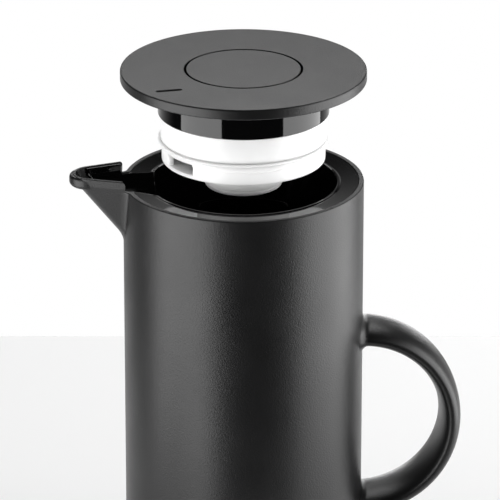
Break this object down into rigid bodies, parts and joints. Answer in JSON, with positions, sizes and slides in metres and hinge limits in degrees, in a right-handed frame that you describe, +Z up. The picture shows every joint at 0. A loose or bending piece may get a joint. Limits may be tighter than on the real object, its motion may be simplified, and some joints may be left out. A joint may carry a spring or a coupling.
{
  "type": "vacuum jug",
  "caption": "Straight cylindrical vacuum jug with a beak spout, a ring handle and a lift-out push-button stopper lid over a glass flask.",
  "frame": {"origin": "centre of the base pad's lower face, on the jug's axis", "axes": "+Z up along the jug's axis, -X towards the spout, +X towards the handle, +Y completes the right-handed frame"},
  "size_m": [0.1939, 0.12, 0.2972],
  "materials": {
    "shell_matte_black": "fine soft-touch grain",
    "gloss_black": "polished",
    "stopper_white": "smooth moulded",
    "white_guide": "moulded",
    "silicone_grey": "satin",
    "silicone_white": "satin",
    "silicone_black": "matte",
    "silvered_glass": "silvered inside the vacuum gap",
    "spacer_felt": "pressed felt",
    "foam": "closed-cell foam",
    "base_plastic": "moulded",
    "screw_steel": "plain"
  },
  "bodies": {
    "jug": {"outer_shell": "shell_matte_black", "handle": "shell_matte_black", "pouring_collar": "gloss_black", "collar_gasket": "silicone_black", "liner_outer_glass": "silvered_glass", "liner_inner_glass": "silvered_glass", "liner_spacers": "spacer_felt", "liner_cushion": "silicone_black", "shoulder_ring": "foam", "base_cover": "base_plastic", "base_screws": "screw_steel", "base_pad": "silicone_black"},
    "lip_seal": {"lip_seal": "silicone_white"},
    "lid": {"lid_disc": "shell_matte_black", "lid_skirt": "gloss_black", "lid_screws": "screw_steel", "stopper_body": "stopper_white", "stopper_o_ring": "silicone_black", "nose_seal": "silicone_grey", "stem_bush": "white_guide", "stem_seal": "silicone_black", "return_spring": "screw_steel"},
    "button": {"button_cap": "shell_matte_black", "valve_stem": "white_guide", "valve_disc": "white_guide", "valve_washer": "silicone_grey", "stem_clip": "screw_steel"}
  },
  "joints": [
    {"name": "lid_lift", "type": "slide", "parent": "jug", "child": "lip_seal", "axis": [0, 0, 1], "range_m": [-0.0517, 0.02]},
    {"name": "lid_turn", "type": "hinge", "parent": "lip_seal", "child": "lid", "pos_m": [0, 0, 0.26], "axis": [0, 0, 1], "range_deg": [-35, 55]},
    {"name": "button_press", "type": "slide", "parent": "lid", "child": "button", "axis": [0, 0, 1], "range_m": [-0.004, 0], "stiffness_N_per_m": 400, "springref_m": 0.002, "deforming": ["return_spring"]}
  ]
}
